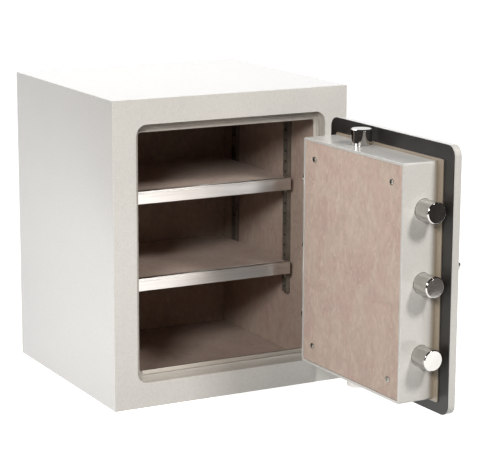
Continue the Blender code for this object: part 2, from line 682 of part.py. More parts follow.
# ---------------------------------------------------------------- bolt work
def layer(number):
    """Near and far faces of one of the three layers of bars behind the cam disc."""
    near = SEAL_BACK + DISC_OFF_SEAL + DISC_SHEET + BAR_GAP + number * (BAR_SHEET + BAR_GAP)
    return near, near + BAR_SHEET


def crank_radius(throw):
    return throw / 2 / math.sin(HANDLE_TURN / 2)


def crank_pin(angle, throw):
    radius = crank_radius(throw)
    return HUB_X + radius * math.cos(angle), HUB_HEIGHT + radius * math.sin(angle)


def thrown_pins():
    half = HANDLE_TURN / 2
    return {"side": (crank_pin(1.5 * math.pi - half, SIDE_THROW), 0),
            "bottom": (crank_pin(-half, CROSS_THROW), 1),
            "top": (crank_pin(math.pi - half, CROSS_THROW), 2)}


def side_bolts():
    tip = BOLT_STOP_SHORT - PLATE_X
    for name, height in zip(("lower", "middle", "upper"), BOLT_HEIGHTS):
        yield rod(f"side_bolt_{name}", (tip, BOLT_Y, height), (tip + BOLT_LENGTH, BOLT_Y, height),
                  BOLT_RADIUS, CHROME, BOLT_CHAMFER, sides=32)


def bolt_bar():
    """The bar that carries the side bolts, with a forked arm round the cam disc's lower pin."""
    (pin_x, _), number = thrown_pins()["side"]
    near, far = layer(number)
    left = BOLT_STOP_SHORT - PLATE_X + BOLT_LENGTH + GAP
    bar = block("bolt_bar", (left, near, BOLT_HEIGHTS[0] - BAR_LAP),
                (left + BAR_SHEET, near + BAR_WIDTH, BOLT_HEIGHTS[2] + BAR_LAP), ZINC)
    fork_top = HUB_HEIGHT - crank_radius(CROSS_THROW) / 2 - 2 * PIN_RADIUS - PIN_PLAY
    lowest = HUB_HEIGHT - crank_radius(SIDE_THROW) - PIN_RADIUS - PIN_PLAY
    arm = block("bolt_bar_arm", (left + BAR_SHEET / 2, near + GAP / 2, lowest - ARM_HALF),
                (pin_x + ARM_HALF + PIN_RADIUS, far, fork_top))
    slot = block("bolt_bar_slot", (pin_x - PIN_RADIUS - PIN_PLAY, near - OVER, lowest),
                 (pin_x + PIN_RADIUS + PIN_PLAY, far + OVER, fork_top + OVER))
    return cut(join(bar, arm), slot)


def cross_bolt(name, sign, tip):
    """The top or bottom bolt with its rod and the slotted arm that the cam disc drives."""
    (pin_x, pin_z), number = thrown_pins()[name]
    near, far = layer(number)
    root = tip - sign * CROSS_BOLT_LENGTH
    bolt = rod(f"{name}_bolt", (CROSS_BOLT_X, CROSS_BOLT_Y, root), (CROSS_BOLT_X, CROSS_BOLT_Y, tip),
               BOLT_RADIUS, CHROME, BOLT_CHAMFER, sides=32)
    ends = sorted((pin_z - sign * ARM_HALF, root + sign * 2 * BOLT_CHAMFER))
    strip = block(f"{name}_rod", (CROSS_BOLT_X - ARM_HALF, near, ends[0]),
                  (CROSS_BOLT_X + ARM_HALF, far, ends[1]))
    arm = block(f"{name}_arm", (pin_x - ARM_BEYOND_PIN, near + GAP / 2, pin_z - ARM_HALF),
                (CROSS_BOLT_X + ARM_HALF / 2, far - GAP / 2, pin_z + ARM_HALF))
    sweep = crank_radius(CROSS_THROW) * (1 - math.cos(HANDLE_TURN / 2))
    outward = sorted((pin_x, pin_x + math.copysign(sweep, pin_x - HUB_X)))
    slot = block(f"{name}_slot", (outward[0] - PIN_RADIUS - PIN_PLAY, near - OVER,
                                  pin_z - PIN_RADIUS - PIN_PLAY),
                 (outward[1] + PIN_RADIUS + PIN_PLAY, far + OVER, pin_z + PIN_RADIUS + PIN_PLAY))
    return cut(join(bolt, strip, arm), slot)


def cam_disc():
    near = SEAL_BACK + DISC_OFF_SEAL
    radius = crank_radius(max(SIDE_THROW, CROSS_THROW)) + PIN_RADIUS + DISC_RIM
    disc = rod("cam_disc", (HUB_X, near, HUB_HEIGHT), (HUB_X, near + DISC_SHEET, HUB_HEIGHT),
               radius, ZINC, sides=32)
    for name, ((x, z), number) in thrown_pins().items():
        pin = rod(f"cam_pin_{name}", (x, near + DISC_SHEET / 2, z), (x, layer(number)[1] + GAP, z),
                  PIN_RADIUS, sides=16)
        join(disc, pin)
    return disc


def lever_handle():
    seat = FRONT - GAP - HANDLE_PLATE_SHEET - GAP
    crown = FRONT - HANDLE_PROUD
    hub = rod("lever_handle", (HUB_X, seat, HUB_HEIGHT), (HUB_X, crown, HUB_HEIGHT),
              HUB_RADIUS, CHROME, 2 * BOLT_CHAMFER, sides=32)
    lever = block("lever_bar", (HUB_X - LEVER_LENGTH, crown + GAP, HUB_HEIGHT - LEVER_HEIGHT / 2),
                  (HUB_X, crown + GAP + LEVER_THICKNESS, HUB_HEIGHT + LEVER_HEIGHT / 2),
                  radius=LEVER_THICKNESS / 3, segments=4)
    return join(hub, lever)


def spindle():
    near = FRONT - GAP - HANDLE_PLATE_SHEET
    return rod("handle_spindle", (HUB_X, near, HUB_HEIGHT),
               (HUB_X, SEAL_BACK + DISC_OFF_SEAL - GAP, HUB_HEIGHT), SPINDLE_RADIUS, ZINC, sides=24)


def bolt_work(door_pivot):
    middle = Vector((HUB_X, FRONT, HUB_HEIGHT))
    handle_pivot = pivot("handle_pivot", middle, door_pivot)
    carry(handle_pivot, lever_handle(), spindle(), cam_disc())
    side_pivot = pivot("side_bolt_slide", Vector((BOX_X0, BOLT_Y, BOLT_HEIGHTS[1])), door_pivot)
    carry(side_pivot, bolt_bar(), *side_bolts())
    for name, sign, edge in (("top", 1, PLATE_HIGH - TOP_BOLT_STOP_SHORT),
                             ("bottom", -1, PLATE_LOW)):
        slide = pivot(f"{name}_bolt_slide", Vector((CROSS_BOLT_X, CROSS_BOLT_Y, edge)), door_pivot)
        carry(slide, cross_bolt(name, sign, edge))


# ---------------------------------------------------------------- dial
def dial(door_pivot):
    seat = FRONT - GAP - DIAL_RING_SHEET - GAP
    skirt = rod("dial", (DIAL_X, seat, HUB_HEIGHT), (DIAL_X, seat - DIAL_SKIRT, HUB_HEIGHT),
                DIAL_SKIRT_RADIUS, DIAL_BLACK, SMALL_ROUND, sides=36)
    knob = rod("dial_knob", (DIAL_X, seat - DIAL_SKIRT / 2, HUB_HEIGHT),
               (DIAL_X, FRONT - DIAL_PROUD, HUB_HEIGHT), DIAL_RADIUS, chamfer=BOLT_CHAMFER, sides=36)
    join(skirt, knob)
    rim = DIAL_X + DIAL_RADIUS
    flute = rod("dial_flute", (rim, seat - 2 * DIAL_SKIRT, HUB_HEIGHT),
                (rim, FRONT - DIAL_PROUD - OVER, HUB_HEIGHT), DIAL_FLUTE_RADIUS, sides=6)
    middle = Vector((DIAL_X, flute.location.y, HUB_HEIGHT))
    flute.data.transform(Matrix.Translation(flute.location - middle))
    flute.location = middle
    spin(flute, DIAL_FLUTES)
    cut(skirt, flute)
    shaft = rod("dial_spindle", (DIAL_X, seat + GAP, HUB_HEIGHT),
                (DIAL_X, SEAL_BACK + LOCK_OFF_SEAL - GAP, HUB_HEIGHT), DIAL_SPINDLE_RADIUS,
                ZINC, sides=16)
    dial_pivot = pivot("dial_pivot", Vector((DIAL_X, FRONT, HUB_HEIGHT)), door_pivot)
    carry(dial_pivot, skirt, shaft)


def spin(item, count):
    """Repeat a mesh round the Y axis through its object's origin."""
    shape = bmesh.new()
    shape.from_mesh(item.data)
    first = shape.verts[:] + shape.edges[:] + shape.faces[:]
    for step in range(1, count):
        copy = bmesh.ops.duplicate(shape, geom=first)
        verts = [piece for piece in copy["geom"] if isinstance(piece, bmesh.types.BMVert)]
        bmesh.ops.rotate(shape, verts=verts, cent=(0, 0, 0),
                         matrix=Matrix.Rotation(2 * math.pi * step / count, 3, "Y"))
    shape.to_mesh(item.data)
    shape.free()


def build():
    clear_scene()
    outer_shell()
    back_cover()
    jamb_frame()
    fire_barrier()
    inner_liner()
    linings()
    sill_trim()
    shelving()
    door_pivot = pivot("door_hinge", HINGE_AXIS)
    hinges(door_pivot)
    door(door_pivot)
    bolt_work(door_pivot)
    dial(door_pivot)
    door_pivot.rotation_euler = (0, 0, DOOR_ANGLE)


build()
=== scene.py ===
"""The looks of a fire-resistant cabinet safe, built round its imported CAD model.

Metres, +Z up. The cabinet's pieces are worked where they stand. The door's pieces are
worked as if the door were shut, and DOOR_TURN carries them to where the open door stands.
"""
import json
import math

import bmesh
import bpy
from mathutils import Matrix, Vector, noise


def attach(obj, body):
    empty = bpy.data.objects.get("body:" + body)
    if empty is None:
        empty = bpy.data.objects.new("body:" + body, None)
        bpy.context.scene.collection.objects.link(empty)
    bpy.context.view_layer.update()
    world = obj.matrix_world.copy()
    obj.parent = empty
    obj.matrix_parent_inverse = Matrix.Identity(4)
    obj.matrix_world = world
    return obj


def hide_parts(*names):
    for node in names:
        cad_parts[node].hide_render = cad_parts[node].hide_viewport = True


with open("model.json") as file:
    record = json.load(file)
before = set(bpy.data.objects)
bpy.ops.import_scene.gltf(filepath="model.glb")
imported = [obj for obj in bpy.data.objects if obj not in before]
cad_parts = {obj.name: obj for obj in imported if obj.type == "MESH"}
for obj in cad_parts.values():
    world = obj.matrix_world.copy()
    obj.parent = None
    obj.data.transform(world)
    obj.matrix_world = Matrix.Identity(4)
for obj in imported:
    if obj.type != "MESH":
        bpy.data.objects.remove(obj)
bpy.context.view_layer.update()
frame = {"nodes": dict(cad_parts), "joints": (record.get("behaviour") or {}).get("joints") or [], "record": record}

SCENE = bpy.context.scene
BODY_OF = {node: body for body, members in frame["record"]["behaviour"]["bodies"].items()
           for node in members}
SWING = next(joint for joint in frame["joints"] if joint["name"] == "door_swing")
DOOR_AXIS = Vector(SWING["pos_m"])
DOOR_ANGLE = math.radians(-SWING["range_deg"][0])
DOOR_TURN = (Matrix.Translation(DOOR_AXIS) @ Matrix.Rotation(DOOR_ANGLE, 4, "Z")
             @ Matrix.Translation(-DOOR_AXIS))

# The camera, as the photograph was taken
CAMERA_PLACE = (-1.35316, -2.74921, 0.88200)
CAMERA_YAW = math.radians(28.40)      # from +Y towards +X
CAMERA_PITCH = math.radians(12.17)    # downwards
CAMERA_ROLL = math.radians(0.28)
CAMERA_LENS = 137.37
SENSOR = 36.0

# How the fine surface is made
SAME_PLACE = 2e-6                 # vertices nearer than this are one
FLAT_WITHIN = math.radians(0.6)   # facets that turn less than this are one face
SHARP = math.radians(28)          # an edge that turns more than this is rounded
SMOOTH_UNDER = math.radians(40)   # faces that turn less than this shade as one
ROUND_STEPS = 3
LATHE_SIDES = 96
ON_AXIS = 1e-7                    # a lathe's ring smaller than this is a single point
FILLET_STEPS = 5


# ---------------------------------------------------------------- places
def home(body):
    """Matrix that carries a body's working frame to where the body stands at rest."""
    return Matrix.Identity(4) if body == "cabinet" else DOOR_TURN.copy()


def home_box(node):
    """Lowest and highest corner of a node in its own body's working frame."""
    back = home(BODY_OF[node]).inverted()
    points = [back @ vert.co for vert in frame["nodes"][node].data.vertices]
    return (Vector([min(p[axis] for p in points) for axis in range(3)]),
            Vector([max(p[axis] for p in points) for axis in range(3)]))


# ---------------------------------------------------------------- node helpers
class Paint:
    """A Principled material under construction, in the object's own coordinates."""

    def __init__(self, name, **constants):
        self.material = bpy.data.materials.new(name)
        self.material.use_nodes = True
        self.nodes = self.material.node_tree.nodes
        self.links = self.material.node_tree.links
        self.shader = self.nodes["Principled BSDF"]
        self.place = self.nodes.new("ShaderNodeTexCoord").outputs["Object"]
        for socket, value in constants.items():
            self.shader.inputs[socket.replace("_", " ")].default_value = value

    def stretched(self, scale):
        mapping = self.nodes.new("ShaderNodeMapping")
        mapping.inputs["Scale"].default_value = scale
        self.links.new(self.place, mapping.inputs["Vector"])
        return mapping.outputs["Vector"]

    def noise(self, scale, detail=2.0, roughness=0.5, distortion=0.0, stretch=None):
        node = self.nodes.new("ShaderNodeTexNoise")
        node.inputs["Scale"].default_value = scale
        node.inputs["Detail"].default_value = detail
        node.inputs["Roughness"].default_value = roughness
        node.inputs["Distortion"].default_value = distortion
        self.links.new(self.stretched(stretch) if stretch else self.place, node.inputs["Vector"])
        return node.outputs["Fac"]

    def spread(self, source, low, high, out_low=0.0, out_high=1.0):
        node = self.nodes.new("ShaderNodeMapRange")
        for socket, value in zip(("From Min", "From Max", "To Min", "To Max"),
                                 (low, high, out_low, out_high)):
            node.inputs[socket].default_value = value
        self.links.new(source, node.inputs["Value"])
        return node.outputs["Result"]

    def tones(self, source, *stops):
        node = self.nodes.new("ShaderNodeValToRGB")
        ramp = node.color_ramp.elements
        while len(ramp) < len(stops):
            ramp.new(0.5)
        for element, (place, colour) in zip(ramp, stops):
            element.position = place
            element.color = (*colour, 1.0)
        self.links.new(source, node.inputs["Fac"])
        return node.outputs["Color"]

    def blend(self, share, first, second, mode="MIX"):
        node = self.nodes.new("ShaderNodeMix")
        node.data_type = "RGBA"
        node.blend_type = mode
        for socket, value in ((node.inputs[0], share), (node.inputs[6], first),
                              (node.inputs[7], second)):
            if hasattr(value, "links"):
                self.links.new(value, socket)
            else:
                socket.default_value = value if isinstance(value, float) else (*value, 1.0)
        return node.outputs[2]

    def add(self, first, second, weight=1.0):
        node = self.nodes.new("ShaderNodeMath")
        node.operation = "MULTIPLY_ADD"
        node.inputs[1].default_value = weight
        self.links.new(second, node.inputs[0])
        self.links.new(first, node.inputs[2])
        return node.outputs["Value"]

    def colour(self, source):
        self.links.new(source, self.shader.inputs["Base Color"])

    def rough(self, source):
        self.links.new(source, self.shader.inputs["Roughness"])

    def bump(self, source, height, strength=1.0):
        node = self.nodes.new("ShaderNodeBump")
        node.inputs["Strength"].default_value = strength
        node.inputs["Distance"].default_value = height
        self.links.new(source, node.inputs["Height"])
        self.links.new(node.outputs["Normal"], self.shader.inputs["Normal"])
        if self.shader.inputs["Coat Weight"].default_value > 0.0:
            self.links.new(node.outputs["Normal"], self.shader.inputs["Coat Normal"])


def shaded(colour, share):
    """A colour with every channel taken to the same share."""
    return tuple(channel * share for channel in colour)


# ---------------------------------------------------------------- materials
def enamel(name, colour, grain=0.00010):
    """Semi-gloss powder enamel with an orange-peel surface."""
    paint = Paint(name, Coat_Weight=1.0, Coat_Roughness=0.11)
    cloud = paint.noise(9.0, detail=3.0)
    speckle = paint.noise(380.0, detail=3.0, roughness=0.65)
    base = paint.tones(cloud, (0.30, shaded(colour, 0.975)), (0.70, shaded(colour, 1.01)))
    dots = paint.tones(speckle, (0.34, shaded((1, 1, 1), 0.90)), (0.58, (1, 1, 1)))
    paint.colour(paint.blend(0.75, base, dots, "MULTIPLY"))
    paint.rough(paint.spread(cloud, 0.3, 0.7, 0.34, 0.42))
    peel = paint.noise(420.0, detail=3.0, roughness=0.55)
    pits = paint.noise(240.0, detail=1.0)
    paint.bump(paint.add(peel, pits, 1.4), grain)
    return paint.material


def suede(name, base, pink, stroke):
    """Brushed nap: pinkish patches, soft swirls and thin pale strokes where the pile turns."""
    paint = Paint(name, Sheen_Weight=0.16, Sheen_Roughness=0.5,
                  Sheen_Tint=(0.95, 0.90, 0.85, 1.0), Specular_IOR_Level=0.12)
    patches = paint.noise(24.0, detail=3.0, roughness=0.55, distortion=1.0,
                          stretch=(1.0, 1.0, 0.7))
    swirls = paint.noise(60.0, detail=3.0, roughness=0.6, distortion=1.8,
                         stretch=(1.0, 1.0, 0.6))
    strokes = paint.noise(85.0, detail=2.0, roughness=0.5, distortion=2.6,
                          stretch=(1.0, 1.0, 0.45))
    fibres = paint.noise(1500.0, detail=2.0, roughness=0.7)
    tinted = paint.blend(paint.spread(patches, 0.42, 0.62, 0.0, 0.85), base, pink)
    shade = paint.tones(swirls, (0.32, (0.88, 0.87, 0.865)), (0.68, (1.03, 1.03, 1.03)))
    napped = paint.blend(1.0, tinted, shade, "MULTIPLY")
    streaked = paint.blend(paint.spread(strokes, 0.56, 0.68, 0.0, 0.55), napped, stroke)
    flecks = paint.tones(fibres, (0.30, (0.91, 0.90, 0.89)), (0.62, (1, 1, 1)))
    paint.colour(paint.blend(0.8, streaked, flecks, "MULTIPLY"))
    paint.rough(paint.spread(swirls, 0.3, 0.7, 0.98, 0.86))
    paint.bump(paint.add(fibres, swirls, 0.7), 0.00012, 0.8)
    return paint.material


def brushed(name, colour):
    """Metal with fine brush lines along X, which smear a highlight across them."""
    paint = Paint(name, Metallic=1.0, Anisotropic=0.85, Anisotropic_Rotation=0.25)
    squeeze = (0.004, 1.0, 1.0)
    lines = paint.noise(2200.0, detail=2.0, roughness=0.6, stretch=squeeze)
    bands = paint.noise(420.0, detail=2.0, stretch=squeeze)
    paint.colour(paint.tones(paint.add(lines, bands, 0.5), (0.50, shaded(colour, 0.84)),
                             (0.90, colour)))
    paint.rough(paint.spread(lines, 0.35, 0.7, 0.44, 0.54))
    paint.bump(lines, 0.00001)
    return paint.material


def chrome(name):
    """Polished plate with a faint haze."""
    paint = Paint(name, Metallic=1.0)
    haze = paint.noise(45.0, detail=4.0, roughness=0.6)
    paint.colour(paint.tones(haze, (0.3, (0.49, 0.475, 0.455)), (0.7, (0.56, 0.545, 0.525))))
    paint.rough(paint.spread(haze, 0.35, 0.75, 0.045, 0.10))
    ripple = paint.noise(300.0, detail=1.0)
    paint.bump(ripple, 0.0000015, 0.5)
    return paint.material


def dull_metal(name, colour, rough_low, rough_high, metallic=1.0, bump=0.00003):
    """Plated, painted or cast metal with uneven tone."""
    paint = Paint(name, Metallic=metallic)
    cloud = paint.noise(60.0, detail=5.0, roughness=0.65)
    grain = paint.noise(900.0, detail=2.0)
    paint.colour(paint.tones(paint.add(cloud, grain, 0.3), (0.45, shaded(colour, 0.72)),
                             (0.85, shaded(colour, 1.12))))
    paint.rough(paint.spread(cloud, 0.3, 0.7, rough_low, rough_high))
    paint.bump(grain, bump, 0.7)
    return paint.material


def dark_sheet(name, colour):
    """Satin black seal sheet with a faint pressed grain."""
    paint = Paint(name, Specular_IOR_Level=0.5)
    cloud = paint.noise(35.0, detail=3.0)
    grain = paint.noise(1100.0, detail=2.0, roughness=0.6)
    paint.colour(paint.tones(cloud, (0.3, shaded(colour, 0.75)), (0.7, shaded(colour, 1.25))))
    paint.rough(paint.spread(cloud, 0.3, 0.7, 0.30, 0.44))
    paint.bump(grain, 0.00003, 0.6)
    return paint.material


def cast_fill(name):
    """Pale, lumpy cast insulation."""
    paint = Paint(name, Roughness=0.95)
    lumps = paint.noise(180.0, detail=6.0, roughness=0.7)
    paint.colour(paint.tones(lumps, (0.3, (0.40, 0.39, 0.36)), (0.7, (0.60, 0.59, 0.55))))
    paint.bump(lumps, 0.0006, 0.8)
    return paint.material


def flange_shaded_enamel(name, colour, shade_start, shade_end, shade_share):
    """The same enamel with painted shade, darker where the box turns out into its flange."""
    material = enamel(name, colour)
    tree = material.node_tree
    shader = tree.nodes["Principled BSDF"]
    place = next(node for node in tree.nodes if node.bl_idname == "ShaderNodeTexCoord")
    split = tree.nodes.new("ShaderNodeSeparateXYZ")
    tree.links.new(place.outputs["Object"], split.inputs["Vector"])
    # Painted shade mask: full next to the flange, fading out towards the panel
    reach = tree.nodes.new("ShaderNodeMapRange")
    reach.interpolation_type = "SMOOTHSTEP"
    for socket, value in zip(("From Min", "From Max", "To Min", "To Max"),
                             (shade_start, shade_end, 1.0, 0.0)):
        reach.inputs[socket].default_value = value
    tree.links.new(split.outputs["Y"], reach.inputs["Value"])
    mix = tree.nodes.new("ShaderNodeMix")
    mix.data_type = "RGBA"
    mix.blend_type = "MULTIPLY"
    mix.inputs[7].default_value = (*shade_share, 1.0)
    tree.links.new(reach.outputs["Result"], mix.inputs[0])
    tree.links.new(shader.inputs["Base Color"].links[0].from_socket, mix.inputs[6])
    tree.links.new(mix.outputs[2], shader.inputs["Base Color"])
    return material


CREAM = (0.715, 0.695, 0.652)
MATERIALS = {
    "cream_enamel": enamel("cream_enamel_fine", CREAM),
    "taupe_suede": suede("taupe_suede_fine", (0.680, 0.545, 0.450), (0.645, 0.465, 0.400),
                         (0.760, 0.632, 0.535)),
    "black_seal": dark_sheet("black_seal_fine", (0.020, 0.018, 0.017)),
    "polished_chrome": chrome("polished_chrome_fine"),
    "brushed_trim": brushed("brushed_trim_fine", (0.93, 0.915, 0.89)),
    "dark_steel": dull_metal("dark_steel_fine", (0.210, 0.185, 0.155), 0.34, 0.50, 0.40),
    "zinc_steel": dull_metal("zinc_steel_fine", (0.36, 0.35, 0.31), 0.20, 0.36),
    "cement_fill": cast_fill("cement_fill_fine"),
    "lock_case": dull_metal("lock_case_fine", (0.27, 0.27, 0.28), 0.45, 0.65, 0.8, 0.0001),
    "dial_black": dark_sheet("dial_black_fine", (0.022, 0.022, 0.023)),
}
# Painted shade: the same suede as on the door panel, made darker for the linings and shelves to stand in for the
# shade inside the cabinet
SUEDE_INSIDE_SHADED = suede("taupe_suede_inside_painted_shade", (0.490, 0.388, 0.318), (0.480, 0.348, 0.296),
                     (0.560, 0.452, 0.378))
SLOT_OF = {part["node"]: part["material_slot"] for part in frame["record"]["subparts"]}


def paint_cad_nodes():
    """Every CAD node that stays in view takes its slot's fine material."""
    for node, item in frame["nodes"].items():
        item.data.materials.clear()
        item.data.materials.append(MATERIALS[SLOT_OF[node]])


# ---------------------------------------------------------------- piece helpers
def add_piece(name, shape, nodes, material=None, even=True):
    """Turns a bmesh into a piece that stands for CAD nodes and rides on their body."""
    mesh = bpy.data.meshes.new(name)
    shape.to_mesh(mesh)
    shape.free()
    mesh.shade_smooth()
    mesh.set_sharp_from_angle(angle=SMOOTH_UNDER)
    slot = SLOT_OF[nodes[0]]
    mesh.materials.append(material or MATERIALS[slot])
    piece = bpy.data.objects.new(name, mesh)
    SCENE.collection.objects.link(piece)
    if even:
        piece.modifiers.new("even_normals", "WEIGHTED_NORMAL").keep_sharp = True
    body = BODY_OF[nodes[0]]
    piece.matrix_world = home(body)
    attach(piece, body)
    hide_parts(*nodes)
    return piece


def cad_shape(node):
    """A clean copy of a node's shape in its working frame, its flat faces made whole."""
    shape = bmesh.new()
    shape.from_mesh(frame["nodes"][node].data)
    shape.transform(home(BODY_OF[node]).inverted())
    bmesh.ops.remove_doubles(shape, verts=shape.verts, dist=SAME_PLACE)
    bmesh.ops.dissolve_limit(shape, angle_limit=FLAT_WITHIN, verts=shape.verts,
                             edges=shape.edges)
    return shape


def refined(node, rounding):
    """The node's own shape with every sharp edge rolled over as on the made thing."""
    shape = cad_shape(node)
    sharp = [edge for edge in shape.edges
             if len(edge.link_faces) == 2 and edge.calc_face_angle(0.0) > SHARP]
    bmesh.ops.bevel(shape, geom=sharp, offset=rounding, segments=ROUND_STEPS, profile=0.5,
                    affect="EDGES", clamp_overlap=True)
    return add_piece(f"{node}_fine", shape, [node])


def fillet(points, radius):
    """Rounds the inner corners of a profile of (radius, along) points with short arcs."""
    rounded = [points[0]]
    for before, corner, after in zip(points, points[1:], points[2:]):
        a, b, c = Vector(before), Vector(corner), Vector(after)
        reach = min(radius, (a - b).length / 2.2, (c - b).length / 2.2)
        start, end = b + (a - b).normalized() * reach, b + (c - b).normalized() * reach
        for step in range(FILLET_STEPS + 1):
            t = step / FILLET_STEPS
            rounded.append(tuple(start * (1 - t) ** 2 + b * 2 * t * (1 - t) + end * t ** 2))
    return rounded + [points[-1]]


def lathe(shape, profile, axis_matrix, sides=LATHE_SIDES, wave=None):
    """Turns a closed profile of (radius, along) points round an axis into the shape."""
    rings = []
    for radius, along in profile:
        if radius < ON_AXIS:
            rings.append([shape.verts.new(axis_matrix @ Vector((0, 0, along)))])
            continue
        ring = []
        for side in range(sides):
            angle = 2 * math.pi * side / sides
            reach = radius * (wave(angle, radius, along) if wave else 1.0)
            ring.append(shape.verts.new(axis_matrix @ Vector(
                (reach * math.cos(angle), reach * math.sin(angle), along))))
        rings.append(ring)
    for lower, upper in zip(rings, rings[1:]):
        for side in range(sides):
            following = (side + 1) % sides
            corners = [lower[side % len(lower)], lower[following % len(lower)],
                       upper[following % len(upper)], upper[side % len(upper)]]
            unique = list(dict.fromkeys(corners))
            if len(unique) > 2:
                shape.faces.new(unique)
    bmesh.ops.recalc_face_normals(shape, faces=shape.faces)
    return shape


def axis_from(point, direction):
    """Matrix that carries a lathe's +Z axis to a direction from a point."""
    turn = Vector(direction).to_track_quat("Z", "Y").to_matrix().to_4x4()
    return Matrix.Translation(point) @ turn


def merge(shape, made):
    """Adds a finished bmesh to the shape, and frees it."""
    carrier = bpy.data.meshes.new("carrier")
    made.to_mesh(carrier)
    made.free()
    shape.from_mesh(carrier)
    bpy.data.meshes.remove(carrier)


def soft_box(shape, low, high, radius):
    """Adds a rounded box to the shape."""
    made = bmesh.new()
    bmesh.ops.create_cube(made, size=1.0)
    bmesh.ops.scale(made, vec=Vector(high) - Vector(low), verts=made.verts)
    bmesh.ops.translate(made, vec=(Vector(low) + Vector(high)) / 2, verts=made.verts)
    bmesh.ops.bevel(made, geom=made.edges[:], offset=radius, segments=ROUND_STEPS, profile=0.5,
                    affect="EDGES", clamp_overlap=True)
    merge(shape, made)
    return shape


# ---------------------------------------------------------------- suede boards
BOARD_CELL = 0.007
BOARD_ROLL = 0.0009
BOARD_SWELL = 0.00012
SWELL_SCALE = 26.0            # noise cells per metre
DENT_DEPTH = 0.0005
DENT_RADIUS = 0.007


def board(node, material=None, dents=()):
    """A board wrapped in suede: rolled edges, a faint swell, and dents round its screws."""
    low, high = home_box(node)
    shape = bmesh.new()
    size = high - low
    thin = min(range(3), key=lambda axis: size[axis])
    roll = min(BOARD_ROLL, size[thin] * 0.4)
    soft_box(shape, low, high, roll)
    for axis in (other for other in range(3) if other != thin):
        count = int(size[axis] / BOARD_CELL)
        normal = Vector([1.0 if other == axis else 0.0 for other in range(3)])
        for step in range(1, count):
            point = Vector(low)
            point[axis] += size[axis] * step / count
            bmesh.ops.bisect_plane(shape, geom=shape.verts[:] + shape.edges[:] + shape.faces[:],
                                   plane_co=point, plane_no=normal)
    for vert in shape.verts:
        side = 1.0 if vert.co[thin] > (low[thin] + high[thin]) / 2 else -1.0
        swell = BOARD_SWELL * (noise.noise(vert.co * SWELL_SCALE) - 1.0)
        for place in dents:
            away = (vert.co - place).length
            swell -= DENT_DEPTH * math.exp(-(away / DENT_RADIUS) ** 2)
        vert.co[thin] += side * swell
    add_piece(f"{node}_fine", shape, [node], material)


TRIM_ROUND = 0.00035
GROOVE_DOWN = 0.0040
GROOVE_WIDE = 0.0008
GROOVE_DEEP = 0.0006


def grooved_trim(node):
    """A shelf's metal front edge, with the thin groove that runs along under its nose."""
    low, high = home_box(node)
    trim = refined(node, TRIM_ROUND)
    cutter = bmesh.new()
    made = bmesh.ops.create_cube(cutter, size=1.0)["verts"]
    bmesh.ops.scale(cutter, vec=(high.x - low.x + 0.01, 2 * GROOVE_DEEP, GROOVE_WIDE),
                    verts=made)
    bmesh.ops.translate(cutter, vec=((low.x + high.x) / 2, low.y, high.z - GROOVE_DOWN),
                        verts=made)
    carve(trim, cutter)


CLIP_ROUND = 0.0003
STANDARD_ROUND = 0.00025
SILL_ROUND = 0.0002
# Painted shade: the sill trim takes a darker, warmer copy of the brushed trim metal, standing in for the shade at
# the bottom of the doorway
SILL_METAL_SHADED = (0.56, 0.52, 0.46)


def lined_room():
    """The room's linings, shelves, standards and clips, and the trim on the sill. The linings and shelves take a
    darker copy of the suede, and the sill trim a darker copy of the brushed metal, as painted shade.
    """
    for side in ("left", "right", "back", "floor", "ceiling"):
        # painted shade: linings and shelves take the darker suede
        board(f"lining_{side}", SUEDE_INSIDE_SHADED)
    for level in ("lower", "upper"):
        board(f"shelf_{level}", SUEDE_INSIDE_SHADED)
        grooved_trim(f"shelf_trim_{level}")
        for hand in ("left", "right"):
            for place in ("front", "rear"):
                refined(f"clip_{level}_{hand}_{place}", CLIP_ROUND)
    for hand in ("left", "right"):
        for place in ("front", "rear"):
            refined(f"standard_{hand}_{place}", STANDARD_ROUND)
    sill = refined("sill_trim", SILL_ROUND)
    # painted shade: darker copy of the trim metal
    sill.data.materials[0] = brushed("brushed_sill_painted_shade", SILL_METAL_SHADED)


# ---------------------------------------------------------------- steelwork
BEAD_INSET = 0.045
BEAD_WIDE = 0.007
BEAD_PROUD = 0.0012
BEAD_ROUND = BEAD_PROUD * 0.9
BEAD_SUNK = 0.0010
BACK_ROUND = 0.0005
RIVET_INSET = 0.014
RIVET_SUNK = 0.0004
RIVET_RADIUS = 0.0038
# (share of the radius, height)
RIVET_DOME = ((0.0, 0.0), (1.0, 0.0), (0.8, 0.0012), (0.4, 0.0019), (0.0, 0.0021))
RIVET_SIDES = 32


def pressed_back():
    """The back sheet, with a pressed stiffening bead and the rivets that hold its rim."""
    low, high = home_box("back_cover")
    shape = soft_box(bmesh.new(), low, high, BACK_ROUND)
    x_low, x_high = low.x + BEAD_INSET, high.x - BEAD_INSET
    z_low, z_high = low.z + BEAD_INSET, high.z - BEAD_INSET
    near, proud, half = high.y - BEAD_SUNK, high.y + BEAD_PROUD, BEAD_WIDE / 2
    for z in (z_low, z_high):
        soft_box(shape, (x_low - half, near, z - half), (x_high + half, proud, z + half),
                 BEAD_ROUND)
    for x in (x_low, x_high):
        soft_box(shape, (x - half, near, z_low - half), (x + half, proud, z_high + half),
                 BEAD_ROUND)
    dome = [(share * RIVET_RADIUS, rise) for share, rise in RIVET_DOME]
    for along in (0.0, 0.5, 1.0):
        for side in (low.x + RIVET_INSET, high.x - RIVET_INSET):
            z = low.z + RIVET_INSET + along * (high.z - low.z - 2 * RIVET_INSET)
            place = axis_from((side, high.y - RIVET_SUNK, z), (0, 1, 0))
            merge(shape, lathe(bmesh.new(), dome, place, sides=RIVET_SIDES))
    add_piece("back_cover_fine", shape, ["back_cover"])


STEEL_ROUND = 0.0004
JAMB_ROUND = 0.0005
PLATE_ROUND = 0.0003
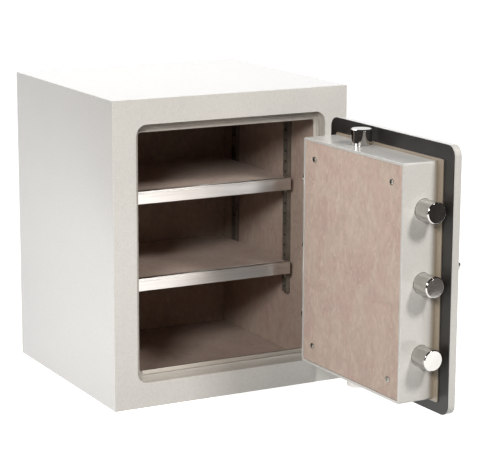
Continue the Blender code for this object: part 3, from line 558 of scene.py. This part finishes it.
# Painted shade: the jamb takes a darker copy of the cream enamel, standing in for the shade in the doorway's
# rebates
JAMB_CREAM_SHADED = (0.520, 0.485, 0.435)
JAMB_GRAIN = 0.00004
# Painted shade: the box's cream is darkened by the share below between these depths next to its flange
FLANGE_SHADE_START = 0.002            # from the flange's seated face, towards the panel
FLANGE_SHADE_END = 0.012
FLANGE_SHADE_SHARE = (0.52, 0.44, 0.35)


def steelwork():
    """The casing, the door frame and the door's own sheets. The jamb takes a darker copy of the cream enamel, and
    the bolt box's enamel darkens next to its flange, as painted shade.
    """
    refined("outer_shell", STEEL_ROUND)
    pressed_back()
    jamb = refined("jamb_frame", JAMB_ROUND)
    # painted shade: darker copy of the cream enamel
    jamb.data.materials[0] = enamel("cream_enamel_jamb_painted_shade", JAMB_CREAM_SHADED, JAMB_GRAIN)
    refined("door_plate", PLATE_ROUND)
    box_low = home_box("bolt_box")[0].y
    box = refined("bolt_box", STEEL_ROUND)
    # painted shade next to the flange
    box.data.materials[0] = flange_shaded_enamel("cream_enamel_box_painted_shade", CREAM, box_low + FLANGE_SHADE_START,
                                       box_low + FLANGE_SHADE_END, FLANGE_SHADE_SHARE)
    refined("door_seal", PLATE_ROUND)


# ---------------------------------------------------------------- bolts and dogs
BOLT_CHAMFER = 0.0014
EDGE_BREAK = 0.00025
CAM_ROUND = 0.0003


def turned_bolt(node, spigot=None):
    """A chromed bolt: turned body, crisp chamfer, flat end, its edges just broken."""
    low, high = home_box(node)
    centre = (low + high) / 2
    radius = (high.z - low.z) / 2
    outward = -1.0 if node.startswith("side_bolt") else 1.0
    root_x, tip_x = (high.x, low.x) if outward < 0 else (low.x, high.x)
    length = abs(tip_x - root_x)
    profile = [(0.0, 0.0)]
    start = 0.0
    if spigot:
        neck_radius, start = spigot
        profile += [(neck_radius, 0.0), (neck_radius, start)]
    profile += [(radius, start), (radius, length - BOLT_CHAMFER),
                (radius - BOLT_CHAMFER, length), (0.0, length)]
    shape = lathe(bmesh.new(), fillet(profile, EDGE_BREAK),
                  axis_from((root_x, centre.y, centre.z), (outward, 0, 0)))
    add_piece(f"{node}_fine", shape, [node])


def spigot_of(node):
    """Radius and length of the neck at a dog's inner end, read from its vertices."""
    low, high = home_box(node)
    centre = (low + high) / 2
    back = home(BODY_OF[node]).inverted()
    points = [back @ vert.co for vert in frame["nodes"][node].data.vertices]
    full = (high.z - low.z) / 2
    neck = max(math.hypot(p.y - centre.y, p.z - centre.z) for p in points if p.x < low.x + 0.001)
    shoulder = min(p.x for p in points
                   if math.hypot(p.y - centre.y, p.z - centre.z) > full * 0.9)
    return neck, shoulder - low.x


def bolts():
    """The locking bolts, the fixed dogs and what drives the bolts."""
    for place in ("lower", "middle", "upper"):
        turned_bolt(f"side_bolt_{place}")
        dog = f"hinge_dog_{place}"
        turned_bolt(dog, spigot_of(dog))
    refined("top_bolt", EDGE_BREAK)
    refined("bottom_bolt", EDGE_BREAK)
    refined("bolt_bar", STEEL_ROUND)
    refined("cam_disc", CAM_ROUND)


# ---------------------------------------------------------------- panel and its screws
CROSS_LENGTH = 0.0052
CROSS_WIDTH = 0.0011
CROSS_DEPTH = 0.0011
SCREW_HEAD = 0.0017
SCREW_NECK = 0.0023
SCREW_ROUND = 0.0004
SCREW_SIDES = 48
SCREW_TURN = 17.0             # degrees
SCREW_TURN_MORE = 31.0        # added once for each number in the screw's name


def carve(piece, shape):
    """Cuts the shape out of a piece's mesh."""
    mesh = bpy.data.meshes.new("cutter")
    shape.to_mesh(mesh)
    shape.free()
    cutter = bpy.data.objects.new("cutter", mesh)
    SCENE.collection.objects.link(cutter)
    cutter.matrix_world = piece.matrix_world
    change = piece.modifiers.new("carve", "BOOLEAN")
    change.operation = "DIFFERENCE"
    change.object = cutter
    change.solver = "EXACT"
    bpy.context.view_layer.update()
    evaluated = piece.evaluated_get(bpy.context.evaluated_depsgraph_get())
    made = bpy.data.meshes.new_from_object(evaluated)
    piece.modifiers.remove(change)
    bpy.data.objects.remove(cutter)
    piece.data = made
    made.set_sharp_from_angle(angle=SMOOTH_UNDER)


def cross_cutter(place):
    """A plus-shaped prism along Y."""
    far, near = CROSS_LENGTH / 2, CROSS_WIDTH / 2
    outline = [(far, -near), (far, near), (near, near), (near, far), (-near, far),
               (-near, near), (-far, near), (-far, -near), (-near, -near), (-near, -far),
               (near, -far), (near, -near)]
    shape = bmesh.new()
    rings = [[shape.verts.new(place @ Vector((x, side * CROSS_DEPTH, z))) for x, z in outline]
             for side in (-1, 1)]
    shape.faces.new(rings[0])
    shape.faces.new(rings[1][::-1])
    count = len(outline)
    for index in range(count):
        following = (index + 1) % count
        shape.faces.new((rings[0][index], rings[1][index], rings[1][following],
                         rings[0][following]))
    bmesh.ops.recalc_face_normals(shape, faces=shape.faces)
    return shape


def panel_screw(node):
    """A pan-head screw with a cross recess."""
    low, high = home_box(node)
    centre = (low + high) / 2
    head_radius = (high.x - low.x) / 2
    full = high.y - low.y
    seat = full - SCREW_HEAD
    profile = [(0.0, 0.0), (SCREW_NECK * 0.6, 0.0), (SCREW_NECK, 0.0008), (SCREW_NECK, seat),
               (head_radius, seat), (head_radius, full - SCREW_HEAD * 0.55),
               (head_radius * 0.72, full - SCREW_HEAD * 0.12), (0.0, full)]
    shape = lathe(bmesh.new(), fillet(profile, SCREW_ROUND),
                  axis_from((centre.x, low.y, centre.z), (0, 1, 0)), sides=SCREW_SIDES)
    piece = add_piece(f"{node}_fine", shape, [node], even=False)
    angle = math.radians(SCREW_TURN + SCREW_TURN_MORE * int(node[-1]))
    place = Matrix.Translation((centre.x, high.y, centre.z)) @ Matrix.Rotation(angle, 4, "Y")
    carve(piece, cross_cutter(place))


def back_panel():
    """The suede-covered panel in the bolt box, and its four screws."""
    high_y = home_box("back_panel")[1].y
    places = []
    for number in range(1, 5):
        name = f"panel_screw_{number}"
        low, high = home_box(name)
        places.append(Vector(((low.x + high.x) / 2, high_y, (low.z + high.z) / 2)))
        panel_screw(name)
    board("back_panel", dents=places)


# ---------------------------------------------------------------- handle, dial and hinges
LEVER_THICK = 0.0132
LEVER_WIDE = 0.0120
LEVER_PROUD = 0.0009
LEVER_STATIONS = 34
LEVER_SIDES = 28
LEVER_BLUNT = 0.0022          # length of the rounding at the tip
LEVER_SQUARE = 0.6            # 1 gives a round section, 0 a square one
WAIST_WIDTH = 0.16            # share of the width lost at the waist
WAIST_THICK = 0.14
HUB_ROUND = 0.0016


def swept_lever(shape, start, reach, half_width, half_thick):
    """A lever of soft square section from the hub out along -X, flared to a blunt tip."""
    rings = []
    for station in range(LEVER_STATIONS + 1):
        t = math.sin(math.pi / 2 * station / LEVER_STATIONS)
        left = (1.0 - t) * reach
        end = 1.0
        if left <= LEVER_BLUNT:
            end = 0.55 + 0.45 * math.sqrt(1 - (1 - left / LEVER_BLUNT) ** 2)
        waist = math.sin(math.pi * min(1.0, t * 1.05))
        width = half_width * (1.0 - WAIST_WIDTH * waist) * end
        thick = half_thick * (1.0 - WAIST_THICK * waist) * end
        ring = []
        for side in range(LEVER_SIDES):
            angle = 2 * math.pi * side / LEVER_SIDES
            cos, sin = math.cos(angle), math.sin(angle)
            across = math.copysign(abs(cos) ** LEVER_SQUARE, cos) * thick
            up = math.copysign(abs(sin) ** LEVER_SQUARE, sin) * width
            ring.append(shape.verts.new(start + Vector((-reach * t, across, up))))
        rings.append(ring)
    for inner, outer in zip(rings, rings[1:]):
        for side in range(LEVER_SIDES):
            following = (side + 1) % LEVER_SIDES
            shape.faces.new((inner[side], outer[side], outer[following], inner[following]))
    shape.faces.new(rings[0])
    shape.faces.new(rings[-1][::-1])


def handle():
    """The lever and its turned hub, as one piece."""
    low, high = home_box("lever_handle")
    spindle_low, spindle_high = home_box("handle_spindle")
    hub = (spindle_low + spindle_high) / 2
    radius = high.x - hub.x
    crown = high.y - low.y
    shape = bmesh.new()
    profile = [(0.0, 0.0), (radius, 0.0), (radius, crown * 0.30), (radius * 0.80, crown * 0.42),
               (radius * 0.80, crown * 0.80), (radius * 0.62, crown * 0.985), (0.0, crown)]
    lathe(shape, fillet(profile, HUB_ROUND), axis_from((hub.x, high.y, hub.z), (0, -1, 0)))
    start = Vector((hub.x, low.y - LEVER_PROUD + LEVER_THICK / 2, hub.z))
    swept_lever(shape, start, hub.x - low.x, LEVER_WIDE / 2, LEVER_THICK / 2)
    bmesh.ops.recalc_face_normals(shape, faces=shape.faces)
    add_piece("lever_handle_fine", shape, ["lever_handle"], even=False)


HANDLE_HOLE = 0.0063
DIAL_HOLE = 0.0043
ROSE_ROUND = 0.0005


def rose(node, hole):
    """A turned plate on the door's face, with a raised centre and a groove."""
    low, high = home_box(node)
    centre = (low + high) / 2
    radius, deep = (high.x - low.x) / 2, high.y - low.y
    profile = [(hole, 0.0), (radius, 0.0), (radius, deep * 0.45), (radius * 0.93, deep * 0.72),
               (radius * 0.90, deep * 0.72), (radius * 0.88, deep * 0.60),
               (radius * 0.84, deep * 0.60), (radius * 0.82, deep * 0.80),
               (radius * 0.55, deep), (hole, deep), (hole, 0.0)]
    shape = lathe(bmesh.new(), fillet(profile[:-1], ROSE_ROUND) + profile[-1:],
                  axis_from((centre.x, high.y, centre.z), (0, -1, 0)))
    bmesh.ops.remove_doubles(shape, verts=shape.verts, dist=SAME_PLACE)
    add_piece(f"{node}_fine", shape, [node], even=False)


KNOB_RADIUS = 0.022
SKIRT = 0.0032                # height of the dial's marked rim
KNOB_SUNK = 0.0012            # hollow in the knob's end
DIAL_SIDES = 288
KNURLS = 36
KNURL_DEPTH = 0.035           # share of the radius
KNURL_REACH = 0.0012          # how far off the knob's radius a point may be to be knurled
KNURL_END = 0.0016            # plain stretch at the knob's end
DIAL_MARKS = 50
MARKS_PER_LONG = 5
LONG_MARK = 0.0030
SHORT_MARK = 0.0019
MARK_WIDE = 0.00035
MARK_THICK = 0.0004
MARK_ROUND = 0.00008
MARK_INSET = 0.0012
MARK_HEIGHT = SKIRT * 0.93


def knurl(deep):
    """The wave that presses flutes into the side of a knob of this depth."""
    def wave(angle, at, along):
        pressed = SKIRT * 1.3 < along < deep - KNURL_END and abs(at - KNOB_RADIUS) < KNURL_REACH
        flute = (0.5 + 0.5 * math.cos(KNURLS * angle)) ** 2
        return 1.0 - (KNURL_DEPTH * flute if pressed else 0.0)
    return wave


def dial_marks(radius, hand):
    """Raised bars round the dial's rim, each fifth one longer."""
    marks = bmesh.new()
    for number in range(DIAL_MARKS):
        length = SHORT_MARK if number % MARKS_PER_LONG else LONG_MARK
        bar = bmesh.new()
        bmesh.ops.create_cube(bar, size=1.0)
        bmesh.ops.scale(bar, vec=(length, MARK_WIDE, MARK_THICK), verts=bar.verts)
        bmesh.ops.bevel(bar, geom=bar.edges[:], offset=MARK_ROUND, segments=1, profile=0.5,
                        affect="EDGES")
        bmesh.ops.translate(bar, vec=(radius - MARK_INSET - length / 2, 0, MARK_HEIGHT),
                            verts=bar.verts)
        bmesh.ops.rotate(bar, cent=(0, 0, 0), verts=bar.verts,
                         matrix=Matrix.Rotation(2 * math.pi * number / DIAL_MARKS, 3, "Z"))
        bar.transform(hand)
        merge(marks, bar)
    piece = add_piece("dial_marks", marks, ["dial"], MATERIALS["cream_enamel"], even=False)


def dial():
    """The combination dial: a fluted knob on a thin rim with raised marks."""
    low, high = home_box("dial")
    centre = (low + high) / 2
    radius, deep = (high.x - low.x) / 2, high.y - low.y
    hand = axis_from((centre.x, high.y, centre.z), (0, -1, 0))
    floor_of_hollow = deep - KNOB_SUNK
    profile = [(0.0, 0.0), (radius, 0.0), (radius, SKIRT * 0.35), (radius - 0.0008, SKIRT * 0.7),
               (KNOB_RADIUS + 0.0012, SKIRT), (KNOB_RADIUS, SKIRT * 1.25),
               (KNOB_RADIUS, SKIRT * 1.6), (KNOB_RADIUS, deep - 0.0032),
               (KNOB_RADIUS, deep - 0.0014), (KNOB_RADIUS - 0.0016, deep),
               (KNOB_RADIUS * 0.72, deep), (KNOB_RADIUS * 0.66, floor_of_hollow),
               (0.0, floor_of_hollow)]
    shape = lathe(bmesh.new(), profile, hand, sides=DIAL_SIDES, wave=knurl(deep))
    add_piece("dial_fine", shape, ["dial"], even=False)
    dial_marks(radius, hand)


PIN_SHANK = 0.004
PIN_HEAD = 0.004
PIN_ROUND = 0.0009
PIN_SIDES = 64


def hinges():
    """The knuckles, and a pin with a low domed head in each pair."""
    for place in ("lower", "upper"):
        refined(f"frame_knuckle_{place}", STEEL_ROUND)
        refined(f"door_knuckle_{place}", STEEL_ROUND)
        node = f"hinge_pin_{place}"
        low, high = home_box(node)
        centre = (low + high) / 2
        head_radius, full = (high.x - low.x) / 2, high.z - low.z
        seat = full - PIN_HEAD
        profile = [(0.0, 0.0), (PIN_SHANK, 0.0), (PIN_SHANK, seat), (head_radius, seat),
                   (head_radius, full - PIN_HEAD * 0.45), (head_radius * 0.55, full),
                   (0.0, full)]
        shape = lathe(bmesh.new(), fillet(profile, PIN_ROUND),
                      axis_from((centre.x, centre.y, low.z), (0, 0, 1)), sides=PIN_SIDES)
        add_piece(f"{node}_fine", shape, [node], even=False)


# ---------------------------------------------------------------- stage, lights, camera
FLOOR_REACH = 60.0
GLOW_NEAR = 0.35              # metres from the origin where the floor starts to glow more
GLOW_FAR = 1.6
GLOW_LOW = 0.72
GLOW_HIGH = 1.05
BOUNCE_ALBEDO = 0.14
BOUNCE_DROP = 0.0002          # how far the bounce card lies under the floor
OVER_TABLE = 0.004
DUSK = (1.0, 0.86, 0.80)
ONLY_REFLECTED = {"camera": False, "diffuse": False, "transmission": False, "shadow": False,
                  "volume_scatter": False}


def stage_sheet(name, corners, material, **visible):
    """A flat sheet that belongs to the studio, seen only by the rays that are left on."""
    mesh = bpy.data.meshes.new(name)
    mesh.from_pydata(corners, [], [tuple(range(len(corners)))])
    mesh.materials.append(material)
    item = bpy.data.objects.new(name, mesh)
    SCENE.collection.objects.link(item)
    for ray, seen in visible.items():
        setattr(item, f"visible_{ray}", seen)


def square(reach, height):
    """Corners of a level square about the origin."""
    return [(-reach, -reach, height), (reach, -reach, height), (reach, reach, height),
            (-reach, reach, height)]


def floor():
    """A pale floor that glows more with distance, over a dimmer card that gives the bounce."""
    paint = Paint("pale_floor", Roughness=0.9)
    paint.shader.inputs["Emission Color"].default_value = (1.0, 0.995, 0.985, 1.0)
    tone = paint.noise(3.0, detail=3.0)
    paint.colour(paint.tones(tone, (0.3, (0.90, 0.90, 0.89)), (0.7, (0.93, 0.93, 0.92))))
    distance = paint.nodes.new("ShaderNodeVectorMath")
    distance.operation = "LENGTH"
    paint.links.new(paint.place, distance.inputs[0])
    glow = paint.spread(distance.outputs["Value"], GLOW_NEAR, GLOW_FAR, GLOW_LOW, GLOW_HIGH)
    paint.links.new(glow, paint.shader.inputs["Emission Strength"])
    stage_sheet("floor", square(FLOOR_REACH, 0.0), paint.material, diffuse=False, shadow=False)
    card = Paint("floor_bounce", Roughness=0.9,
                 Base_Color=(BOUNCE_ALBEDO, BOUNCE_ALBEDO * 0.985, BOUNCE_ALBEDO * 0.96, 1.0))
    stage_sheet("floor_bounce", square(FLOOR_REACH, -BOUNCE_DROP), card.material,
                camera=False, glossy=False)


def glow_sheet(name, corners, colour, strength):
    """A glowing sheet that shows only in reflections."""
    paint = Paint(name, Roughness=1.0, Base_Color=(0.0, 0.0, 0.0, 1.0),
                  Emission_Strength=strength)
    paint.shader.inputs["Emission Color"].default_value = (*colour, 1.0)
    stage_sheet(name, corners, paint.material, **ONLY_REFLECTED)


def level(x_low, y_low, x_high, y_high):
    """Corners of a level oblong just over the table."""
    return [(x_low, y_low, OVER_TABLE), (x_high, y_low, OVER_TABLE),
            (x_high, y_high, OVER_TABLE), (x_low, y_high, OVER_TABLE)]


def reflected_room():
    """What only polished metal sees: a white table in a dark room, and a white rear wall."""
    near, front, left, turn, right, rear = -1.25, -1.75, -1.35, 0.575, 1.35, 1.0
    far, wide, ceiling = 5.0, 6.0, 5.0
    glow_sheet("dusk_front", level(turn, front, right, near), DUSK, 0.15)
    glow_sheet("dark_front", level(left, -far, right, front), DUSK, 0.030)
    glow_sheet("dark_left", level(-wide, -far, left, rear), DUSK, 0.040)
    glow_sheet("dark_rear_left", [(-wide, rear, OVER_TABLE), (-0.81, rear, OVER_TABLE),
                                  (-2.1, far, OVER_TABLE), (-wide, far, OVER_TABLE)],
               (1.0, 0.84, 0.72), 0.10)
    glow_sheet("dark_right", level(right, -far, wide, rear), DUSK, 0.16)
    glow_sheet("dark_wall", [(-wide, -far, 0), (-wide, -far, ceiling), (wide, -far, ceiling),
                             (wide, -far, 0)], DUSK, 0.030)
    glow_sheet("rear_wall", [(-wide, far, 0), (wide, far, 0), (wide, far, ceiling),
                             (-wide, far, ceiling)], (1.0, 1.0, 1.0), 1.1)


def softbox(name, aim, towards, distance, size, power, colour):
    """A square light that faces the point it is aimed at."""
    light = bpy.data.lights.new(name, "AREA")
    light.shape = "SQUARE"
    light.size = size
    light.energy = power
    light.color = colour
    item = bpy.data.objects.new(name, light)
    direction = Vector(towards).normalized()
    item.location = Vector(aim) + direction * distance
    item.rotation_euler = direction.to_track_quat("Z", "Y").to_euler()
    item.visible_camera = False
    SCENE.collection.objects.link(item)


LEFT_POWER = 32.0
SIDE_POWER = 8.0
LOW_POWER = 0.85
RIGHT_POWER = 31.0
TOP_POWER = 9.0
WORLD_STRENGTH = 0.02
MIDDLE = (0.0, -0.15, 0.26)
WARM_WHITE = (1.0, 0.985, 0.965)
COOL_WHITE = (0.945, 0.955, 1.0)


def lights():
    """Five softboxes, a dim world, and plain colour handling."""
    softbox("left_box", MIDDLE, (-0.62, -0.66, 0.42), 2.4, 0.50, LEFT_POWER, WARM_WHITE)
    softbox("side_box", MIDDLE, (-0.95, -0.08, 0.20), 2.2, 0.70, SIDE_POWER, COOL_WHITE)
    softbox("low_box", (-0.2, 0.0, 0.08), (-1.0, -0.10, 0.0), 0.5, 0.30, LOW_POWER, COOL_WHITE)
    softbox("right_box", MIDDLE, (0.27, -0.73, 0.62), 2.5, 0.38, RIGHT_POWER, WARM_WHITE)
    softbox("top_box", (-0.02, 0.05, 0.48), (-0.05, 0.40, 1.0), 0.95, 0.8, TOP_POWER, COOL_WHITE)
    world = bpy.data.worlds.new("studio")
    world.use_nodes = True
    background = world.node_tree.nodes["Background"]
    background.inputs["Color"].default_value = (1.0, 0.99, 0.975, 1.0)
    background.inputs["Strength"].default_value = WORLD_STRENGTH
    SCENE.world = world
    SCENE.view_settings.view_transform = "Standard"
    SCENE.view_settings.look = "None"
    SCENE.view_settings.exposure = 0.0


def camera():
    """The camera that was fitted to the photograph."""
    data = bpy.data.cameras.new("camera")
    data.lens = CAMERA_LENS
    data.sensor_width = SENSOR
    data.clip_end = 100.0
    item = bpy.data.objects.new("camera", data)
    SCENE.collection.objects.link(item)
    yaw, pitch = CAMERA_YAW, CAMERA_PITCH
    forward = Vector((math.sin(yaw) * math.cos(pitch), math.cos(yaw) * math.cos(pitch),
                      -math.sin(pitch)))
    right = Vector((math.cos(yaw), -math.sin(yaw), 0.0))
    up = right.cross(forward)
    cos, sin = math.cos(CAMERA_ROLL), math.sin(CAMERA_ROLL)
    turned_right, turned_up = right * cos + up * sin, up * cos - right * sin
    turn = Matrix((turned_right, turned_up, -forward)).transposed().to_4x4()
    item.matrix_world = Matrix.Translation(CAMERA_PLACE) @ turn
    SCENE.camera = item


paint_cad_nodes()
steelwork()
lined_room()
bolts()
back_panel()
handle()
rose("handle_plate", HANDLE_HOLE)
rose("dial_ring", DIAL_HOLE)
dial()
hinges()
floor()
reflected_room()
lights()
camera()
